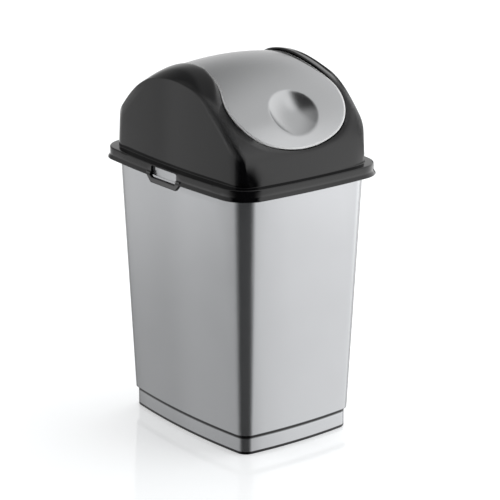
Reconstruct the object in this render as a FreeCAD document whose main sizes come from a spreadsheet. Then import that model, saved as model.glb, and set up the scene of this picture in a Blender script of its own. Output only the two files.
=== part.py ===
import FreeCAD, Part
import math
import os
import re
import Sketcher

V = FreeCAD.Vector
LEVEL = FreeCAD.Rotation()
UPRIGHT = FreeCAD.Rotation(V(1, 0, 0), 90)
SIDEWAYS = FreeCAD.Rotation(V(1, 1, 1), 120)
ALONG_X = FreeCAD.Rotation(V(0, 1, 0), 90)

doc = FreeCAD.newDocument("SwingBin")
sheet = doc.addObject("Spreadsheet::Sheet", "Sizes")

# Driving dimensions in millimetres, one block for each piece.
SIZES = {
    # Bucket: a tub that widens upwards, with bowed sides, a drawn-in foot and a turned-down rim
    "bucket_height": 273.2,
    "foot_height": 20.6,
    "foot_inset": 2.3,
    "foot_round": 1.5,
    "base_width": 147.0,
    "base_depth": 194.2,
    "base_corner": 13.8,
    "mouth_width": 167.2,
    "mouth_depth": 215.3,
    "mouth_corner": 19.3,
    "side_bow": 6.5,
    "end_bow": 5.1,
    "bucket_wall": 2.0,
    "bucket_floor": 2.4,
    "rim_reach": 7.1,
    "rim_plate": 2.0,
    "rim_drop": 8.5,
    "rim_lip": 1.6,
    # Lid collar: a skirt round the rim and a level ledge that rests on it
    "seat_gap": 0.3,
    "skirt_gap": 0.6,
    "skirt_wall": 2.0,
    "collar_drop": 11.0,
    "collar_round": 1.4,
    "ledge": 2.2,
    "bead_reach": 2.0,
    "bead_height": 3.4,
    # Latch loops that hang from the skirt and the windows in them
    "loop_length": 54.0,
    "loop_drop": 6.8,
    "loop_slope": 7.0,
    "loop_bar": 5.2,
    "window_length": 41.0,
    "window_round": 2.6,
    "window_web": 1.0,
    # Hood: near-upright cheeks under a drum-shaped roof with falling shoulders
    "dome_width": 169.7,
    "dome_depth": 221.2,
    "dome_corner": 22.3,
    "dome_rise": 112.0,
    "dome_lean": 3.8,
    "hood_wall": 2.2,
    "drum_radius": 109.4,
    "drum_sink": 11.0,
    "roof_half": 56.0,
    # Opening: waisted at the middle and round at both ends, drawn on two planes that fall from the waist
    "waist_rise": 95.0,
    "opening_waist": 55.5,
    "opening_half": 123.8,
    "waist_radius": 148.7,
    "opening_corner": 47.3,
    "opening_end": 109.3,
    "opening_depth": 45.0,
    # Flap: a crowned drum segment with a round finger dish
    "flap_gap": 1.3,
    "flap_wall": 2.0,
    "flap_crown": 340.0,
    "dish_radius": 29.5,
    "dish_depth": 8.5,
    # Pivots: brackets under the shoulders, ears under the flap and push-in pins
    "pivot_rise": 79.0,
    "pivot_width": 17.0,
    "ear_setback": 1.6,
    "ear_wall": 3.0,
    "bracket_setback": 1.2,
    "bracket_wall": 3.2,
    "pin_radius": 3.0,
    "pin_fit": 0.04,
    "pin_running": 0.1,
    "pin_head_radius": 5.4,
    "pin_head": 2.0,
    "pin_barb": 0.35,
    "pin_barb_length": 2.2,
    "pin_end_play": 0.4,
    "overrun": 5.0,
}
for row, (alias, size) in enumerate(SIZES.items(), start=1):
    sheet.set(f"A{row}", alias)
    sheet.set(f"B{row}", str(size))
    sheet.setAlias(f"B{row}", alias)

# Sizes that follow from the driving ones.
DERIVED = {
    "foot_width": "=base_width - 2 * foot_inset",
    "foot_depth": "=base_depth - 2 * foot_inset",
    "foot_corner": "=base_corner - foot_inset",
    "rim_width": "=mouth_width + 2 * rim_reach",
    "rim_depth": "=mouth_depth + 2 * rim_reach",
    "rim_corner": "=mouth_corner + rim_reach",
    "skirt_out": "=rim_reach + skirt_gap + skirt_wall",
    "collar_width": "=mouth_width + 2 * skirt_out",
    "collar_depth": "=mouth_depth + 2 * skirt_out",
    "collar_corner": "=mouth_corner + skirt_out",
    "dome_base": "=bucket_height + seat_gap + ledge",
    "collar_foot": "=dome_base - collar_drop",
    "drum_axis": "=dome_base - drum_sink",
    "roof_reach": "=dome_width / 2 + overrun",
    "roof_clear": "=dome_depth / 2 + dome_rise + drum_sink",
    "pivot_height": "=dome_base + pivot_rise",
    "flap_waist": "=opening_waist - flap_gap",
    "ear_face": "=flap_waist - ear_setback",
    "bracket_face": "=opening_waist + bracket_setback",
    "dish_sphere": "=(dish_radius ^ 2 + dish_depth ^ 2) / (2 * dish_depth)",
}
for row, (alias, formula) in enumerate(DERIVED.items(), start=len(SIZES) + 2):
    sheet.set(f"A{row}", alias)
    sheet.set(f"B{row}", formula)
    sheet.setAlias(f"B{row}", alias)
doc.recompute()

# Roof of the hood: degrees from the top, and the crown and shoulder drop there as shares of the drum radius.
ROOF_SHARES = (
    (0, 0.012, 0.233),
    (15, 0.020, 0.177),
    (30, 0.032, 0.105),
    (50, 0.036, 0.063),
    (60, 0.0265, 0.035),
    (70, 0.0152, 0.021),
    (95, 0.0152, 0.021),
)
OPENING_TILT = 38.0
DISH_TILT = 50.0
SIDES = (("left", -1), ("right", 1))
ENDS = (("front", 1), ("rear", -1))

# How a sketch counts the ends of a line or arc, its own axes and its origin.
START, END, CENTRE = range(1, 4)
X_AXIS, Y_AXIS = range(-1, -3, -1)
ORIGIN = (X_AXIS, START)


def size(expression):
    return float(sheet.evalExpression(expression))


def bind(item, target, expression):
    """Tie a property to the sheet: each word of the expression is one of its aliases."""
    item.setExpression(target, re.sub(r"[a-z][a-z_]*", r"Sizes.\g<0>", expression))


def add(kind, name, **sizes):
    """A document object with the given sizes tied to the sheet."""
    item = doc.addObject(kind, name)
    for target, expression in sizes.items():
        bind(item, target, expression)
    return item


def place(item, turn, **spots):
    """Turn an object and tie its place along x, y and z to the sheet."""
    item.Placement = FreeCAD.Placement(V(0, 0, 0), turn)
    for axis, expression in spots.items():
        bind(item, f"Placement.Base.{axis}", expression)
    return item


def held(sketch, name, expression, kind, *where):
    """A named constraint of a sketch, driven from the sheet."""
    index = sketch.addConstraint(Sketcher.Constraint(kind, *where, size(expression)))
    sketch.renameConstraint(index, name)
    bind(sketch, f"Constraints.{name}", expression)


def rule(sketch, kind, *where):
    sketch.addConstraint(Sketcher.Constraint(kind, *where))


def arc(centre, radius, start, end):
    """An arc about a centre, counter-clockwise from one point to another."""
    angles = [math.atan2(p.y - centre.y, p.x - centre.x) for p in (start, end)]
    if angles[1] < angles[0]:
        angles[1] += 2 * math.pi
    return Part.ArcOfCircle(Part.Circle(centre, V(0, 0, 1), radius), *angles)


def meeting(first, first_radius, second, second_radius):
    """The point with the larger y where two circles cross."""
    across = second - first
    apart = across.Length
    along = (apart ** 2 + first_radius ** 2 - second_radius ** 2) / (2 * apart)
    off = math.sqrt(first_radius ** 2 - along ** 2)
    foot = first + across * (along / apart)
    side = V(-across.y, across.x, 0) * (off / apart)
    return max(foot + side, foot - side, key=lambda point: point.y)


def mirrored(point, x_sign, y_sign):
    return V(point.x * x_sign, point.y * y_sign, 0)


def ring_of_arcs(sketch, side, end, corner, side_centre, end_centre, waisted):
    """Eight tangent arcs, even about both axes: four corners, right and left sides, rear and front ends."""
    hollow = -1 if waisted else 1
    corner_centre = meeting(side_centre, side - corner * hollow, end_centre, end - corner)
    side_touch = corner_centre + (corner_centre - side_centre).normalize() * (corner * hollow)
    end_touch = corner_centre + (corner_centre - end_centre).normalize() * corner
    shapes = []
    for x_sign, y_sign in ((1, 1), (-1, 1), (-1, -1), (1, -1)):
        ends = [mirrored(p, x_sign, y_sign) for p in (side_touch, end_touch)]
        if x_sign != y_sign:
            ends.reverse()
        shapes.append(arc(mirrored(corner_centre, x_sign, y_sign), corner, *ends))
    for sign in (1, -1):
        ends = [mirrored(side_touch, sign, flip * sign * hollow) for flip in (-1, 1)]
        shapes.append(arc(side_centre * sign, side, *ends))
    for sign in (1, -1):
        ends = [mirrored(end_touch, flip * sign, sign) for flip in (1, -1)]
        shapes.append(arc(end_centre * sign, end, *ends))
    arcs = sketch.addGeometry(shapes, False)
    rear_right, rear_left, front_left, front_right, right, left, rear, front = arcs
    first, last = (END, START) if waisted else (START, END)
    for joint in (
        (right, last, rear_right, START), (rear_right, END, rear, START),
        (rear, END, rear_left, START), (rear_left, END, left, first),
        (left, last, front_left, START), (front_left, END, front, START),
        (front, END, front_right, START), (front_right, END, right, first),
    ):
        rule(sketch, "Tangent", *joint)
    for piece in (right, left):
        rule(sketch, "PointOnObject", piece, CENTRE, X_AXIS)
    for piece in (rear, front):
        rule(sketch, "PointOnObject", piece, CENTRE, Y_AXIS)
    for piece in (rear_left, front_left, front_right):
        rule(sketch, "Equal", rear_right, piece)
    rule(sketch, "Equal", right, left)
    rule(sketch, "Equal", rear, front)
    return rear_right, right, left, rear, front


def outline(name, width, depth, corner, height):
    """A level rectangle with bowed sides and round corners."""
    side = f"((({depth}) / 2) ^ 2 + side_bow ^ 2) / (2 * side_bow)"
    end = f"((({width}) / 2) ^ 2 + end_bow ^ 2) / (2 * end_bow)"
    side_shift = f"{side} - ({width}) / 2"
    end_shift = f"{end} - ({depth}) / 2"
    sketch = place(add("Sketcher::SketchObject", name), LEVEL, z=height)
    corner_arc, right, left, rear, front = ring_of_arcs(
        sketch, size(side), size(end), size(corner),
        V(-size(side_shift), 0, 0), V(0, -size(end_shift), 0), waisted=False)
    held(sketch, "corner", corner, "Radius", corner_arc)
    held(sketch, "side", side, "Radius", right)
    held(sketch, "end", end, "Radius", rear)
    held(sketch, "right_shift", side_shift, "DistanceX", right, CENTRE, *ORIGIN)
    held(sketch, "left_shift", side_shift, "DistanceX", *ORIGIN, left, CENTRE)
    held(sketch, "rear_shift", end_shift, "DistanceY", rear, CENTRE, *ORIGIN)
    held(sketch, "front_shift", end_shift, "DistanceY", *ORIGIN, front, CENTRE)
    return sketch


def waisted_outline(name, inset, tilt):
    """The opening seen along its tilted plane's normal, drawn in: hollow sides, round corners, bowed ends."""
    side = f"waist_radius + {inset}"
    corner = f"opening_corner - {inset}"
    end = f"opening_end - {inset}"
    side_shift = "opening_waist + waist_radius"
    end_shift = "opening_half - opening_end"
    sketch = place(add("Sketcher::SketchObject", name), FreeCAD.Rotation(V(1, 0, 0), tilt),
                   z="dome_base + waist_rise")
    corner_arc, right, left, rear, front = ring_of_arcs(
        sketch, size(side), size(end), size(corner),
        V(size(side_shift), 0, 0), V(0, size(end_shift), 0), waisted=True)
    held(sketch, "corner", corner, "Radius", corner_arc)
    held(sketch, "side", side, "Radius", right)
    held(sketch, "end", end, "Radius", rear)
    held(sketch, "right_shift", side_shift, "DistanceX", *ORIGIN, right, CENTRE)
    held(sketch, "left_shift", side_shift, "DistanceX", left, CENTRE, *ORIGIN)
    held(sketch, "rear_shift", end_shift, "DistanceY", *ORIGIN, rear, CENTRE)
    held(sketch, "front_shift", end_shift, "DistanceY", front, CENTRE, *ORIGIN)
    return sketch


def waisted_prism(name, inset):
    """What lies inside the opening: a front and a rear prism that lean apart and meet at the waist."""
    halves = []
    for end, sign in ENDS:
        prism = extrude(f"{name}_{end}_prism", waisted_outline(f"{name}_{end}_plan", inset, sign * OPENING_TILT),
                        "opening_depth")
        bind(prism, "LengthRev", "opening_depth")
        keep = block(f"{name}_{end}_side", "2 * roof_reach", "roof_clear", "roof_clear", "-roof_reach",
                     "-roof_clear" if sign > 0 else "0", "dome_base")
        halves.append(common(f"{name}_{end}", prism, keep))
    return fuse(name, *halves)


def chain(sketch, pieces):
    """Join line and arc ends in order into a closed loop; each piece is (index, first end, last end)."""
    for (one, _, leaving), (two, arriving, _) in zip(pieces, pieces[1:] + pieces[:1]):
        rule(sketch, "Coincident", one, leaving, two, arriving)


def roof_section(name, angle, radius, crown_share, drop_share):
    """What lies above the roof in one plane through the drum's axis: a crowned middle and falling shoulders."""
    crown = f"{radius} * {crown_share}"
    middle = f"(roof_half ^ 2 + ({crown}) ^ 2) / (2 * {crown})"
    high = f"{radius} - {crown}"
    low = f"{high} - {radius} * {drop_share}"
    half, reach, top = size("roof_half"), size("roof_reach"), size("roof_clear")
    hub = V(0, size(f"{radius} - {middle}"), 0)
    bend = V(half, size(high), 0)
    tip = V(reach, size(low), 0)
    outward = (bend - hub).normalize()
    fall = tip - bend
    shoulder = -fall.dot(fall) / (2 * fall.dot(outward))
    shoulder_hub = bend - outward * shoulder
    left_bend, left_tip = mirrored(bend, -1, 1), mirrored(tip, -1, 1)
    sketch = place(add("Sketcher::SketchObject", name), FreeCAD.Rotation(V(1, 0, 0), 90 + angle), z="drum_axis")
    crown_arc, right, left, right_side, top_line, left_side = sketch.addGeometry([
        arc(hub, size(middle), bend, left_bend),
        arc(shoulder_hub, shoulder, tip, bend),
        arc(mirrored(shoulder_hub, -1, 1), shoulder, left_bend, left_tip),
        Part.LineSegment(V(reach, top, 0), tip),
        Part.LineSegment(V(-reach, top, 0), V(reach, top, 0)),
        Part.LineSegment(left_tip, V(-reach, top, 0)),
    ], False)
    rule(sketch, "Tangent", right, END, crown_arc, START)
    rule(sketch, "Tangent", crown_arc, END, left, START)
    rule(sketch, "Coincident", left, END, left_side, START)
    rule(sketch, "Coincident", left_side, END, top_line, START)
    rule(sketch, "Coincident", top_line, END, right_side, START)
    rule(sketch, "Coincident", right_side, END, right, START)
    rule(sketch, "Symmetric", crown_arc, START, crown_arc, END, Y_AXIS)
    rule(sketch, "Symmetric", right, START, left, END, Y_AXIS)
    rule(sketch, "Vertical", right_side)
    rule(sketch, "Vertical", left_side)
    rule(sketch, "Horizontal", top_line)
    held(sketch, "middle", middle, "Radius", crown_arc)
    held(sketch, "half", "roof_half", "DistanceX", *ORIGIN, crown_arc, START)
    held(sketch, "high", high, "DistanceY", *ORIGIN, crown_arc, START)
    held(sketch, "reach", "roof_reach", "DistanceX", *ORIGIN, right, START)
    held(sketch, "low", low, "DistanceY", *ORIGIN, right, START)
    held(sketch, "top", "roof_clear", "DistanceY", *ORIGIN, top_line, END)
    return sketch


def loft(name, sections):
    item = add("Part::Loft", name)
    item.Sections = sections
    item.Solid = True
    item.Ruled = len(sections) == 2
    return item


def extrude(name, sketch, length):
    item = add("Part::Extrusion", name, LengthFwd=length)
    item.Base = sketch
    item.DirMode = "Normal"
    item.Solid = True
    return item


def fuse(name, *pieces):
    item = add("Part::MultiFuse", name)
    item.Shapes = list(pieces)
    return item


def common(name, *pieces):
    item = add("Part::MultiCommon", name)
    item.Shapes = list(pieces)
    return item


def cut(name, base, *tools):
    item = add("Part::Cut", name)
    item.Base = base
    item.Tool = tools[0] if len(tools) == 1 else fuse(f"{name}_tools", *tools)
    return item


def rounded(name, base, radius, wanted):
    """Round the edges of an object that pass a test."""
    doc.recompute()
    item = add("Part::Fillet", name)
    item.Base = base
    round_off = size(radius)
    item.Edges = [(i, round_off, round_off) for i, edge in enumerate(base.Shape.Edges, start=1) if wanted(edge)]
    return item


def level_at(height, slack):
    """A test for edges that lie flat at a height."""
    z = size(height)
    near = size(slack)
    return lambda edge: abs(edge.BoundBox.ZMin - z) < near and abs(edge.BoundBox.ZMax - z) < near


def rod(name, radius, length, x, z):
    """A cylinder along x."""
    return place(add("Part::Cylinder", name, Radius=radius, Height=length), ALONG_X, x=x, z=z)


def block(name, length, width, height, x, y, z):
    return place(add("Part::Box", name, Length=length, Width=width, Height=height), LEVEL, x=x, y=y, z=z)


def bucket():
    foot = extrude("bucket_foot", outline("foot_plan", "foot_width", "foot_depth", "foot_corner", "0"),
                   "foot_height")
    foot = rounded("bucket_foot_round", foot, "foot_round", level_at("0", "foot_round"))
    tub = loft("bucket_tub", [
        outline("tub_low", "base_width", "base_depth", "base_corner", "foot_height"),
        outline("tub_high", "mouth_width", "mouth_depth", "mouth_corner", "bucket_height"),
    ])
    rim = extrude("bucket_rim_block", outline(
        "rim_plan", "rim_width", "rim_depth", "rim_corner", "bucket_height - rim_drop"), "rim_drop")
    under_rim = extrude("bucket_rim_groove", outline(
        "groove_plan", "rim_width - 2 * rim_lip", "rim_depth - 2 * rim_lip", "rim_corner - rim_lip",
        "bucket_height - rim_drop - overrun"), "rim_drop - rim_plate + overrun")
    rim = cut("bucket_rim", rim, under_rim)
    foot_hollow = extrude("bucket_foot_hollow", outline(
        "foot_hollow_plan", "foot_width - 2 * bucket_wall", "foot_depth - 2 * bucket_wall",
        "foot_corner - bucket_wall", "bucket_floor"), "foot_height + 2 * bucket_wall - bucket_floor")
    tub_hollow = loft("bucket_tub_hollow", [
        outline("tub_hollow_low", "base_width - 2 * bucket_wall", "base_depth - 2 * bucket_wall",
                "base_corner - bucket_wall", "foot_height + bucket_wall"),
        outline("tub_hollow_high", "mouth_width - 2 * bucket_wall", "mouth_depth - 2 * bucket_wall",
                "mouth_corner - bucket_wall", "bucket_height + bucket_wall"),
    ])
    return cut("bucket", fuse("bucket_blank", foot, tub, rim), foot_hollow, tub_hollow)


def roof_cutter(name, radius):
    """Everything above the roof, lofted round the drum's axis from the rear to the front."""
    fan = [(-angle, *shares) for angle, *shares in reversed(ROOF_SHARES[1:])]
    fan += [(angle, *shares) for angle, *shares in ROOF_SHARES]
    return loft(name, [
        roof_section(f"{name}_{count}", angle, f"({radius})", *shares)
        for count, (angle, *shares) in enumerate(fan)
    ])


def dome(name, inset, roof_radius, foot):
    """The hood's walls up to the roof, drawn in by an inset."""
    width, depth = f"dome_width - 2 * ({inset})", f"dome_depth - 2 * ({inset})"
    corner = f"dome_corner - ({inset})"
    walls = loft(f"{name}_walls", [
        outline(f"{name}_low", width, depth, corner, foot),
        outline(f"{name}_high", f"{width} - 2 * dome_lean", f"{depth} - 2 * dome_lean", corner,
                "dome_base + dome_rise"),
    ])
    return cut(name, walls, roof_cutter(f"{name}_roof", roof_radius))


def collar():
    """The skirt with its flared lower bead and rounded top edge, still solid."""
    skirt = extrude("collar_skirt", outline(
        "skirt_plan", "collar_width", "collar_depth", "collar_corner", "collar_foot"), "collar_drop")
    skirt = rounded("collar_skirt_round", skirt, "collar_round", level_at("dome_base", "seat_gap"))
    bead = loft("collar_bead", [
        outline("bead_low", "collar_width + 2 * bead_reach", "collar_depth + 2 * bead_reach",
                "collar_corner + bead_reach", "collar_foot"),
        outline("bead_high", "collar_width", "collar_depth", "collar_corner", "collar_foot + bead_height"),
    ])
    return fuse("collar", skirt, bead)


def latch_loop(side, sign):
    """A plate that hangs below the skirt, with sloped ends."""
    sketch = add("Sketcher::SketchObject", f"{side}_loop_plan")
    inner = "collar_width / 2 - skirt_wall"
    outer = "collar_width / 2 + bead_reach / 2"
    place(sketch, SIDEWAYS, x=inner if sign > 0 else f"-({outer})")
    half, low = size("loop_length / 2"), size("loop_length / 2 - loop_slope")
    foot, top = size("collar_foot - loop_drop"), size("collar_foot + bead_height")
    corners = [V(-low, foot, 0), V(low, foot, 0), V(half, size("collar_foot"), 0),
               V(half, top, 0), V(-half, top, 0), V(-half, size("collar_foot"), 0)]
    lines = sketch.addGeometry(
        [Part.LineSegment(a, b) for a, b in zip(corners, corners[1:] + corners[:1])], False)
    chain(sketch, [(line, START, END) for line in lines])
    bottom, right_slope, right, upper, left, left_slope = lines
    for line in (right, left):
        rule(sketch, "Vertical", line)
    rule(sketch, "Symmetric", bottom, START, bottom, END, Y_AXIS)
    rule(sketch, "Symmetric", upper, START, upper, END, Y_AXIS)
    rule(sketch, "Equal", right, left)
    held(sketch, "low", "loop_length / 2 - loop_slope", "DistanceX", *ORIGIN, bottom, END)
    held(sketch, "half", "loop_length / 2", "DistanceX", *ORIGIN, right, START)
    held(sketch, "foot", "collar_foot - loop_drop", "DistanceY", *ORIGIN, bottom, END)
    held(sketch, "hem", "collar_foot", "DistanceY", *ORIGIN, right, START)
    held(sketch, "top", "collar_foot + bead_height", "DistanceY", *ORIGIN, right, END)
    return extrude(f"{side}_loop", sketch, "skirt_wall + bead_reach / 2")


def latch_window(side, sign):
    """A round-cornered slot through the skirt and its loop."""
    depth = "skirt_wall + bead_reach + overrun"
    near = "collar_width / 2 - skirt_wall - skirt_gap"
    slot = block(f"{side}_window_block", depth, "window_length",
                 "collar_drop + loop_drop - loop_bar - window_web",
                 near if sign > 0 else f"-({near}) - ({depth})", "-window_length / 2",
                 "collar_foot - loop_drop + loop_bar")
    return rounded(f"{side}_window", slot, "window_round",
                   lambda edge: edge.BoundBox.XLength > size("skirt_wall + bead_reach"))


def tongue(name, wall, face, sign):
    """A plate round the pivot axis, with a half-round foot, that reaches up past the roof."""
    x = face if sign > 0 else f"-({face}) - {wall}"
    foot = rod(f"{name}_foot", "pivot_width / 2", wall, x, "pivot_height")
    stem = block(f"{name}_stem", wall, "pivot_width", "dome_rise", x, "-pivot_width / 2", "pivot_height")
    return fuse(name, foot, stem)


def lid_hood():
    blank = fuse("hood_blank", dome("dome", "0", "drum_radius", "collar_foot + bead_height"), collar(),
                 *[latch_loop(side, sign) for side, sign in SIDES])
    skirt_hollow = extrude("skirt_hollow", outline(
        "skirt_hollow_plan", "collar_width - 2 * skirt_wall", "collar_depth - 2 * skirt_wall",
        "collar_corner - skirt_wall", "collar_foot - overrun"), "collar_drop - ledge + overrun")
    brackets = [tongue(f"{side}_bracket", "bracket_wall", "bracket_face", sign) for side, sign in SIDES]
    hollow = cut("hood_hollow", dome("dome_hollow", "hood_wall", "drum_radius - hood_wall",
                                     "collar_foot - overrun"), *brackets)
    windows = [latch_window(side, sign) for side, sign in SIDES]
    bore = rod("bracket_bore", "pin_radius + pin_running", "2 * roof_half + 2 * pivot_width",
               "-roof_half - pivot_width", "pivot_height")
    return cut("lid_hood", blank, skirt_hollow, hollow, waisted_prism("opening", "0"), bore, *windows)


def drum(name, drawn_in):
    """A drum along x, below the lid's ledge, bent round a large ring so that it is crowned across."""
    return place(add("Part::Torus", name, Radius1="flap_crown - drum_radius", Radius2=f"drum_radius - {drawn_in}"),
                 UPRIGHT, z="drum_axis + drum_radius - flap_crown")


def dish(name, grown):
    """A ball whose cap sinks the finger dish into the front of the drum."""
    tilt = math.radians(DISH_TILT)
    out = "(drum_radius - dish_depth + dish_sphere)"
    return place(add("Part::Sphere", name, Radius=f"dish_sphere + {grown}"), LEVEL,
                 y=f"-{out} * {math.sin(tilt)}", z=f"drum_axis + {out} * {math.cos(tilt)}")


def swing_flap():
    plug = common("flap_plug", drum("flap_drum", "0"), waisted_prism("flap_prism", "flap_gap"))
    ears = [tongue(f"{side}_ear", "ear_wall", "ear_face - ear_wall", sign) for side, sign in SIDES]
    hollow = cut("flap_hollow", drum("flap_inner_drum", "flap_wall"), dish("dish_back", "flap_wall"), *ears)
    bore = rod("ear_bore", "pin_radius + pin_fit", "2 * roof_half + 2 * pivot_width",
               "-roof_half - pivot_width", "pivot_height")
    return cut("swing_flap", plug, hollow, dish("dish_face", "0"), bore)


def pivot_pin(side, sign):
    """A headed pin pushed outwards through the ear and the bracket, with a tapered snap end."""
    head_x = "ear_face - ear_wall - pin_head"
    barb_x = "bracket_face + bracket_wall + pin_end_play"
    head = rod(f"{side}_pin_head", "pin_head_radius", "pin_head", head_x, "pivot_height")
    shank = rod(f"{side}_pin_shank", "pin_radius", f"{barb_x} - ({head_x})", head_x, "pivot_height")
    barb = place(add("Part::Cone", f"{side}_pin_barb", Radius1="pin_radius + pin_barb",
                     Radius2="pin_radius - 2 * pin_barb", Height="pin_barb_length"),
                 ALONG_X, x=barb_x, z="pivot_height")
    pin = fuse(f"{side}_pin_form", head, shank, barb)
    if sign < 0:
        mirror = add("Part::Mirroring", f"{side}_pin_mirror")
        mirror.Source = pin
        mirror.Normal = V(1, 0, 0)
        pin = mirror
    pin.Label = f"{side}_pivot_pin"
    return pin


pieces = [bucket(), lid_hood(), swing_flap()]
pieces += [pivot_pin(side, sign) for side, sign in SIDES]
doc.recompute()

for item in doc.Objects:
    if {"Invalid", "Error"} & set(item.State):
        raise RuntimeError(f"{item.Name} failed: {item.State}")
os.makedirs("parts", exist_ok=True)
for piece in pieces:
    shape = piece.Shape
    if shape.isNull() or not shape.isValid() or len(shape.Solids) != 1:
        raise RuntimeError(f"{piece.Label} is not one sound solid: {len(shape.Solids)}")
for piece in pieces:
    piece.Shape.exportStep(f"parts/{piece.Label}.step")
    print(piece.Label, round(piece.Shape.Volume), piece.Shape.BoundBox)
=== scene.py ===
import math

import bpy
from mathutils import Matrix, Vector

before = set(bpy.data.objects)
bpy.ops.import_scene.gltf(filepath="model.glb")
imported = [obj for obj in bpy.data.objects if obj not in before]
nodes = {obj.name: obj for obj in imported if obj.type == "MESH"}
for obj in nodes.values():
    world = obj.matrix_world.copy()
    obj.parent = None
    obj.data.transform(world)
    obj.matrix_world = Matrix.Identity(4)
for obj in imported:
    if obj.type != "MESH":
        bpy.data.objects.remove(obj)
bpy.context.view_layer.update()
scene = bpy.context.scene
white = (1, 1, 1, 1)
print("frame loaded:", ", ".join(sorted(nodes)))


def feed(tree, socket, value):
    if isinstance(value, bpy.types.NodeSocket):
        tree.links.new(value, socket)
    else:
        socket.default_value = value


def mathNode(tree, operation, *values):
    node = tree.nodes.new("ShaderNodeMath")
    node.operation = operation
    for socket, value in zip(node.inputs, values):
        feed(tree, socket, value)
    return node.outputs[0]


# SCALE gives a vector or colour, the dot product and the distance give a number
def vectorNode(tree, operation, first, second):
    node = tree.nodes.new("ShaderNodeVectorMath")
    node.operation = operation
    scales = operation == "SCALE"
    feed(tree, node.inputs[0], first)
    feed(tree, node.inputs["Scale" if scales else 1], second)
    return node.outputs["Vector" if scales else "Value"]


def smoothRange(tree, value, low, high, toLow=0.0, toHigh=1.0):
    node = tree.nodes.new("ShaderNodeMapRange")
    node.interpolation_type = "SMOOTHSTEP"
    node.inputs["From Min"].default_value = low
    node.inputs["From Max"].default_value = high
    node.inputs["To Min"].default_value = toLow
    node.inputs["To Max"].default_value = toHigh
    tree.links.new(value, node.inputs["Value"])
    return node.outputs["Result"]


def mixColour(tree, mask, base, top):
    node = tree.nodes.new("ShaderNodeMix")
    node.data_type = "RGBA"
    inputs = {socket.identifier: socket for socket in node.inputs}
    outputs = {socket.identifier: socket for socket in node.outputs}
    tree.links.new(mask, inputs["Factor_Float"])
    tree.links.new(base, inputs["A_Color"])
    inputs["B_Color"].default_value = (*top, 1)
    return outputs["Result_Color"]


def objectCoords(tree):
    return tree.nodes.new("ShaderNodeTexCoord").outputs["Object"]


def splitCoords(tree, coords):
    node = tree.nodes.new("ShaderNodeSeparateXYZ")
    tree.links.new(coords, node.inputs["Vector"])
    return node.outputs


def noiseNode(tree, coords, scale, detail):
    node = tree.nodes.new("ShaderNodeTexNoise")
    tree.links.new(coords, node.inputs["Vector"])
    feed(tree, node.inputs["Scale"], scale)
    node.inputs["Detail"].default_value = detail
    return node.outputs["Fac"]


def newGroup(name, inputs, outputs):
    tree = bpy.data.node_groups.new(name, "ShaderNodeTree")
    for label, kind, value in inputs:
        socket = tree.interface.new_socket(name=label, in_out="INPUT", socket_type=kind)
        socket.default_value = value
    for label, kind in outputs:
        tree.interface.new_socket(name=label, in_out="OUTPUT", socket_type=kind)
    return tree, tree.nodes.new("NodeGroupInput"), tree.nodes.new("NodeGroupOutput")


# fine moulded grain: two sizes of noise on object coordinates, as a tint, a roughness change and a height
grainSet = {"flakeDetail": 2.0, "cloudScale": 24.0, "cloudDetail": 3.0, "cloudTint": 0.04, "noiseMiddle": 0.5}


def makeGrainGroup():
    tree, source, result = newGroup(
        "mouldedGrain",
        [("Colour", "NodeSocketColor", (0.5, 0.5, 0.5, 1)), ("Flake", "NodeSocketFloat", 0.06),
         ("Roughness", "NodeSocketFloat", 0.3), ("Scatter", "NodeSocketFloat", 0.05),
         ("Flake Scale", "NodeSocketFloat", 2600.0)],
        [("Colour", "NodeSocketColor"), ("Roughness", "NodeSocketFloat"), ("Height", "NodeSocketFloat")])
    coords = objectCoords(tree)
    flake = noiseNode(tree, coords, source.outputs["Flake Scale"], grainSet["flakeDetail"])
    cloud = noiseNode(tree, coords, grainSet["cloudScale"], grainSet["cloudDetail"])
    speck = mathNode(tree, "SUBTRACT", flake, grainSet["noiseMiddle"])
    drift = mathNode(tree, "SUBTRACT", cloud, grainSet["noiseMiddle"])
    gain = mathNode(tree, "ADD", mathNode(tree, "MULTIPLY", speck, source.outputs["Flake"]), 1.0)
    gain = mathNode(tree, "ADD", gain, mathNode(tree, "MULTIPLY", drift, grainSet["cloudTint"]))
    spread = mathNode(tree, "MULTIPLY", drift, source.outputs["Scatter"])
    roughness = mathNode(tree, "ADD", source.outputs["Roughness"], spread)
    tree.links.new(vectorNode(tree, "SCALE", source.outputs["Colour"], gain), result.inputs["Colour"])
    tree.links.new(roughness, result.inputs["Roughness"])
    tree.links.new(flake, result.inputs["Height"])
    return tree


mouldedGrain = makeGrainGroup()

# bevelSamples and bumpDistance serve all plastics; the two fades are shares of a shade line's width
plasticSet = {"bevelSamples": 8, "bumpDistance": 0.00005, "lineFadeIn": 0.35, "lineFadeOut": 0.0875}


# shade held in a level line, between two heights above the floor
def shadeLine(tree, colour, low, high, depth):
    height = splitCoords(tree, objectCoords(tree))["Z"]
    width = high - low
    inside = mathNode(tree, "MULTIPLY", smoothRange(tree, height, low, low + width * plasticSet["lineFadeIn"]),
                      smoothRange(tree, height, high - width * plasticSet["lineFadeOut"], high, 1.0, 0.0))
    shade = mathNode(tree, "SUBTRACT", 1.0, mathNode(tree, "MULTIPLY", inside, depth))
    return vectorNode(tree, "SCALE", colour, shade)


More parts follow.
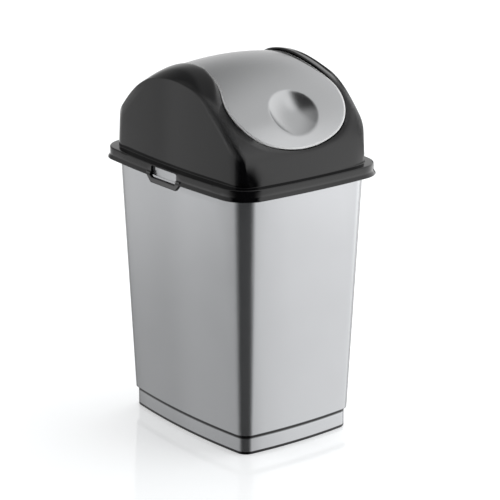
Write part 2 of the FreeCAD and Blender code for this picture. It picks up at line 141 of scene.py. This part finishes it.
# radius of the shaded edges: wider on the shoulders' crests, away from the top, and along the opening's brim
def crestRadius(tree, look):
    place = splitCoords(tree, objectCoords(tree))
    crest = smoothRange(tree, place["Z"], *look["crestFrom"])
    soft = smoothRange(tree, mathNode(tree, "ABSOLUTE", place["Y"]), *look["crestAlong"],
                       look["topEdge"] - look["edge"], look["crestEdge"] - look["edge"])
    brim = smoothRange(tree, mathNode(tree, "ABSOLUTE", place["X"]), *look["brimWithin"],
                       look["brimEdge"] - look["edge"], 0.0)
    extra = mathNode(tree, "MULTIPLY", crest, mathNode(tree, "MAXIMUM", soft, brim))
    return mathNode(tree, "ADD", extra, look["edge"])


# mask of a painted highlight on the outer rim, where the rounded normal leaves the face's own, without the rim of
# the finger dish
def rimHighlightMask(tree, look, roundedNormal):
    faceNormal = tree.nodes.new("ShaderNodeNewGeometry").outputs["Normal"]
    bend = vectorNode(tree, "DOT_PRODUCT", roundedNormal, faceNormal)
    rimHighlight = smoothRange(tree, bend, *look["rimBend"], 1.0, 0.0)
    fromDish = vectorNode(tree, "DISTANCE", objectCoords(tree), look["dishAt"])
    return mathNode(tree, "MULTIPLY", rimHighlight, smoothRange(tree, fromDish, *look["dishReach"]))


def makePlastic(name, look):
    material = bpy.data.materials.new(name)
    material.use_nodes = True
    tree = material.node_tree
    shader = tree.nodes["Principled BSDF"]
    shader.inputs["Metallic"].default_value = look["metallic"]
    shader.inputs["IOR"].default_value = look["ior"]
    grain = tree.nodes.new("ShaderNodeGroup")
    grain.node_tree = mouldedGrain
    grain.inputs["Colour"].default_value = (*look["colour"], 1)
    grain.inputs["Flake"].default_value = look["flake"]
    grain.inputs["Roughness"].default_value = look["roughness"]
    grain.inputs["Scatter"].default_value = look["scatter"]
    grain.inputs["Flake Scale"].default_value = look["flakeScale"]
    tree.links.new(grain.outputs["Roughness"], shader.inputs["Roughness"])
    colour = grain.outputs["Colour"]
    for low, high, depth in look.get("shadeLines", ()):
        colour = shadeLine(tree, colour, low, high, depth)
    edge = tree.nodes.new("ShaderNodeBevel")
    edge.samples = plasticSet["bevelSamples"]
    feed(tree, edge.inputs["Radius"], crestRadius(tree, look) if "crestEdge" in look else look["edge"])
    # painted highlight: the flap's rounded rim is made pale and less metallic where the mask holds
    if "paintedRimHighlight" in look:
        rimHighlight = rimHighlightMask(tree, look, edge.outputs["Normal"])
        colour = mixColour(tree, rimHighlight, colour, look["paintedRimHighlight"])
        loss = mathNode(tree, "MULTIPLY", rimHighlight, look["metallic"])
        tree.links.new(mathNode(tree, "SUBTRACT", look["metallic"], loss), shader.inputs["Metallic"])
    tree.links.new(colour, shader.inputs["Base Color"])
    bump = tree.nodes.new("ShaderNodeBump")
    bump.inputs["Strength"].default_value = look["bump"]
    bump.inputs["Distance"].default_value = plasticSet["bumpDistance"]
    tree.links.new(grain.outputs["Height"], bump.inputs["Height"])
    tree.links.new(edge.outputs["Normal"], bump.inputs["Normal"])
    tree.links.new(bump.outputs["Normal"], shader.inputs["Normal"])
    return material


# the bucket's shade lines are painted shadow: in the groove under the foot's step and along the floor where it
# stands
bucketLook = {"colour": (0.300, 0.305, 0.313), "metallic": 0.77, "roughness": 0.15, "ior": 1.5,
              "flake": 0.10, "scatter": 0.06, "flakeScale": 1800.0, "bump": 0.05, "edge": 0.0005,
              "shadeLines": [(0.0158, 0.0212, 0.93), (-0.001, 0.0034, 0.93)]}
# the flap's pale rim colour is a painted highlight along its rounded outer edge
flapLook = {"colour": (0.37, 0.375, 0.38), "metallic": 0.9, "roughness": 0.20, "ior": 1.5,
            "flake": 0.10, "scatter": 0.06, "flakeScale": 1800.0, "bump": 0.05, "edge": 0.0040,
            "paintedRimHighlight": (0.95, 0.95, 0.95), "rimBend": (0.92, 0.990),
            "dishAt": (0.0, -0.0838, 0.3350), "dishReach": (0.033, 0.037)}
hoodLook = {"colour": (0.0025, 0.0025, 0.003), "metallic": 0.0, "roughness": 0.07, "ior": 1.46,
            "flake": 0.05, "scatter": 0.05, "flakeScale": 900.0, "bump": 0.02, "edge": 0.0012,
            "topEdge": 0.0014, "crestEdge": 0.0110, "crestFrom": (0.294, 0.307), "crestAlong": (0.025, 0.065),
            "brimEdge": 0.0030, "brimWithin": (0.064, 0.072)}
pinLook = {"colour": (0.015, 0.015, 0.015), "metallic": 0.0, "roughness": 0.35, "ior": 1.5,
           "flake": 0.05, "scatter": 0.08, "flakeScale": 900.0, "bump": 0.05, "edge": 0.0004}
finishes = {
    "bucket": makePlastic("bucketSilver", bucketLook),
    "lid_hood": makePlastic("hoodGlossBlack", hoodLook),
    "swing_flap": makePlastic("flapSilver", flapLook),
    "left_pivot_pin": makePlastic("pinBlack", pinLook),
}
finishes["right_pivot_pin"] = finishes["left_pivot_pin"]
for nodeName, finish in finishes.items():
    nodes[nodeName].data.materials.clear()
    nodes[nodeName].data.materials.append(finish)
print("finishes set on", len(finishes), "nodes")

# smooth shading that keeps the creases: triangles are joined, then split again at sharp edges
smoothing = {"weld": 0.00002, "crease": math.radians(24)}
for node in nodes.values():
    weld = node.modifiers.new("joinTriangles", "WELD")
    weld.merge_threshold = smoothing["weld"]
    split = node.modifiers.new("keepCreases", "EDGE_SPLIT")
    split.split_angle = smoothing["crease"]
    node.data.polygons.foreach_set("use_smooth", [True] * len(node.data.polygons))
print("shading smoothed")

# plain pale floor with a faint reflection, itself left out of reflections so the studio's tones show in the gloss
floorSet = {"half": 6.0, "colour": (0.90, 0.925, 0.94), "roughness": 0.10, "gloss": 1.0, "lift": 0.42}
half = floorSet["half"]
floorMesh = bpy.data.meshes.new("floor")
floorMesh.from_pydata([(-half, -half, 0), (half, -half, 0), (half, half, 0), (-half, half, 0)], [], [(0, 1, 2, 3)])
floor = bpy.data.objects.new("floor", floorMesh)
scene.collection.objects.link(floor)
floorMaterial = bpy.data.materials.new("paleFloor")
floorMaterial.use_nodes = True
floorShader = floorMaterial.node_tree.nodes["Principled BSDF"]
floorShader.inputs["Base Color"].default_value = (*floorSet["colour"], 1)
floorShader.inputs["Roughness"].default_value = floorSet["roughness"]
floorShader.inputs["Specular IOR Level"].default_value = floorSet["gloss"]
floorShader.inputs["Emission Color"].default_value = white
floorShader.inputs["Emission Strength"].default_value = floorSet["lift"]
floorMesh.materials.append(floorMaterial)
floor.visible_glossy = False
print("floor laid")


# a sun lamp that leaves no spot in the gloss
def addSun(name, strength, spread, rotation):
    lampData = bpy.data.lights.new(name, "SUN")
    lampData.energy = strength
    lampData.angle = spread
    lampData.specular_factor = 0.0
    lamp = bpy.data.objects.new(name, lampData)
    lamp.rotation_euler = rotation
    lamp.visible_glossy = False
    scene.collection.objects.link(lamp)
    return lamp


# wide overhead light for the floor and the soft contact shadow
overhead = {"strength": 0.75, "spread": math.radians(110), "tilt": (math.radians(8), math.radians(14), 0)}
addSun("overhead", overhead["strength"], overhead["spread"], overhead["tilt"])

# two level side lights for the bucket alone, so that its silver stays light from the rear and the right
sideLights = {"leftSide": {"from": (-0.28, 0.957, 0.08), "strength": 9.0, "spread": math.radians(8)},
              "rightSide": {"from": (0.90, -0.43, 0.08), "strength": 12.5, "spread": math.radians(8)}}
litBySides = bpy.data.collections.new("litBySides")
litBySides.objects.link(nodes["bucket"])
for sideName, side in sideLights.items():
    facing = Vector(side["from"]).to_track_quat("Z", "Y").to_euler()
    sideLamp = addSun(sideName, side["strength"], side["spread"], facing)
    sideLamp.light_linking.receiver_collection = litBySides
print("lamps set")

# studio tones by direction. ahead points level towards the camera and aside to its right; a pair of numbers is
# where a tone starts and ends along ahead, aside, behind or the rise above the horizon
studio = {
    "ahead": (-0.612, -0.791, 0.0), "aside": (0.791, -0.612, 0.0), "leastLevel": 0.0001,
    "dimSide": 0.80, "brightSide": 1.7, "sides": (-0.05, 0.55),
    "leftRamp": (-0.325, -0.245), "leftGain": 0.13, "leftFrom": (-0.6, -0.3),
    "bandGain": 1.05, "bandFoot": (-0.368, -0.312), "bandTop": (-0.29, -0.25),
    "bandSide": (-0.3, 0.5), "bandRight": 0.60,
    "upperDrop": 0.36, "upper": (0.18, 0.72),
    "shadeSpread": (0.46, 0.68), "shadeTop": (-0.30, -0.26), "shadeDepth": 0.6,
    "floorShade": 0.9, "floorShadeTop": (-0.75, -0.50),
    "backWall": 0.7, "backSpread": (0.80, 0.97), "backFoot": (-0.29, -0.24), "backTop": (-0.16, -0.05),
    "flagLeft": (0.05, 0.16), "flagRight": (0.36, 0.50), "flagBehind": (0.45, 0.60), "flagTop": (0.20, 0.30),
    "flagDepth": 0.95,
    "nearFlag": (-0.38, -0.18), "nearFlagFoot": (-0.06, 0.10), "nearFlagDepth": 0.45,
    "glow": (0.43, -0.69, 0.55), "glowSpread": (0.955, 0.997), "glowGain": 0.36,
    "gap": (0.37, 0.64), "lowGap": (0.25, 0.88), "lowGapTop": (-0.28, -0.10), "gapDepth": 0.985,
    "gapTop": (0.72, 0.92), "gapHigh": 0.30,
}
world = bpy.data.worlds.new("studio")
scene.world = world
world.use_nodes = True
sky = world.node_tree
skyCoords = sky.nodes.new("ShaderNodeTexCoord").outputs["Generated"]


def along(key):
    return vectorNode(sky, "DOT_PRODUCT", skyCoords, Vector(studio[key]).normalized())


def fade(value, key, toLow=0.0, toHigh=1.0):
    return smoothRange(sky, value, *studio[key], toLow, toHigh)


def times(*values):
    product = values[0]
    for value in values[1:]:
        product = mathNode(sky, "MULTIPLY", product, value)
    return product


def plus(first, second):
    return mathNode(sky, "ADD", first, second)


def restOf(value):
    return mathNode(sky, "SUBTRACT", 1.0, value)


rise = splitCoords(sky, skyCoords)["Z"]
levelSquared = mathNode(sky, "MAXIMUM", restOf(times(rise, rise)), studio["leastLevel"])
ahead = mathNode(sky, "DIVIDE", along("ahead"), mathNode(sky, "SQRT", levelSquared))
behind = times(ahead, -1.0)
aside = along("aside")

# a dim left and a bright right, with a ramp across the left
tone = fade(aside, "sides", studio["dimSide"], studio["brightSide"])
ramp = times(fade(ahead, "leftRamp", -studio["leftGain"], studio["leftGain"]), fade(aside, "leftFrom", 1.0, 0.0))
tone = times(tone, plus(ramp, 1.0))

# a bright band low all round, weaker at the right, and a dimmer upper half
band = times(fade(rise, "bandFoot", 0.0, studio["bandGain"]), fade(rise, "bandTop", 1.0, 0.0),
             fade(aside, "bandSide", 1.0, studio["bandRight"]))
tone = times(tone, plus(band, 1.0), fade(rise, "upper", 1.0, 1.0 - studio["upperDrop"]))

# dark behind below that band, and dark close to the floor
shade = times(fade(behind, "shadeSpread", 0.0, studio["shadeDepth"]), fade(rise, "shadeTop", 1.0, 0.0))
tone = times(tone, restOf(shade), fade(rise, "floorShadeTop", 1.0 - studio["floorShade"], 1.0))

# a bright patch low on the back wall
wall = times(fade(rise, "backFoot", 0.0, studio["backWall"]), fade(rise, "backTop", 1.0, 0.0),
             fade(behind, "backSpread"))
tone = plus(tone, wall)

# a dark flag behind at the right, and a thinner one behind at the left
flag = times(fade(aside, "flagLeft", 0.0, studio["flagDepth"]), fade(aside, "flagRight", 1.0, 0.0),
             fade(behind, "flagBehind"), fade(rise, "flagTop", 1.0, 0.0))
nearFlag = times(fade(aside, "nearFlag", studio["nearFlagDepth"], 0.0), fade(rise, "nearFlagFoot"),
                 fade(behind, "flagBehind"))
tone = times(tone, restOf(flag), restOf(nearFlag))

# a soft glow high at the front right
tone = plus(tone, fade(along("glow"), "glowSpread", 0.0, studio["glowGain"]))

# a dark gap round the camera, wider and softer low down and weaker high up
gap = times(fade(ahead, "gap", 0.0, studio["gapDepth"]), fade(rise, "lowGapTop"))
lowGap = times(fade(ahead, "lowGap", 0.0, studio["gapDepth"]), fade(rise, "lowGapTop", 1.0, 0.0))
gap = times(plus(gap, lowGap), fade(rise, "gapTop", 1.0, studio["gapHigh"]))
tone = times(tone, restOf(gap))

# the camera itself sees plain white behind the floor
seen = sky.nodes.new("ShaderNodeLightPath").outputs["Is Camera Ray"]
tone = plus(times(tone, restOf(seen)), seen)
background = sky.nodes["Background"]
background.inputs["Color"].default_value = white
sky.links.new(tone, background.inputs["Strength"])
scene.view_settings.view_transform = "Standard"
print("studio set")

# camera at the photograph's angle; its aim passes beside and above the target by aimAside and aimAbove
cameraSet = {"azimuth": math.radians(-37.76), "elevation": math.radians(18.32), "distance": 2.361,
             "target": (0, 0, 0.15), "aimAside": 0.0099, "aimAbove": 0.0241,
             "lens": 170.0, "sensor": 36.0, "clipEnd": 50.0}
turn, tilt = cameraSet["azimuth"], cameraSet["elevation"]
back = Vector((math.sin(turn) * math.cos(tilt), -math.cos(turn) * math.cos(tilt), math.sin(tilt)))
right = Vector((math.cos(turn), math.sin(turn), 0))
up = back.cross(right)
shift = right * cameraSet["aimAside"] + up * cameraSet["aimAbove"]
aim = (shift / cameraSet["distance"] - back).normalized()
lookRight = aim.cross(up).normalized()
lookUp = lookRight.cross(aim)
spin = Matrix((lookRight, lookUp, -aim)).transposed().to_4x4()
cameraData = bpy.data.cameras.new("camera")
cameraData.lens = cameraSet["lens"]
cameraData.sensor_width = cameraSet["sensor"]
cameraData.clip_end = cameraSet["clipEnd"]
camera = bpy.data.objects.new("camera", cameraData)
camera.matrix_world = Matrix.Translation(Vector(cameraSet["target"]) + back * cameraSet["distance"]) @ spin
scene.collection.objects.link(camera)
scene.camera = camera
print("camera placed")
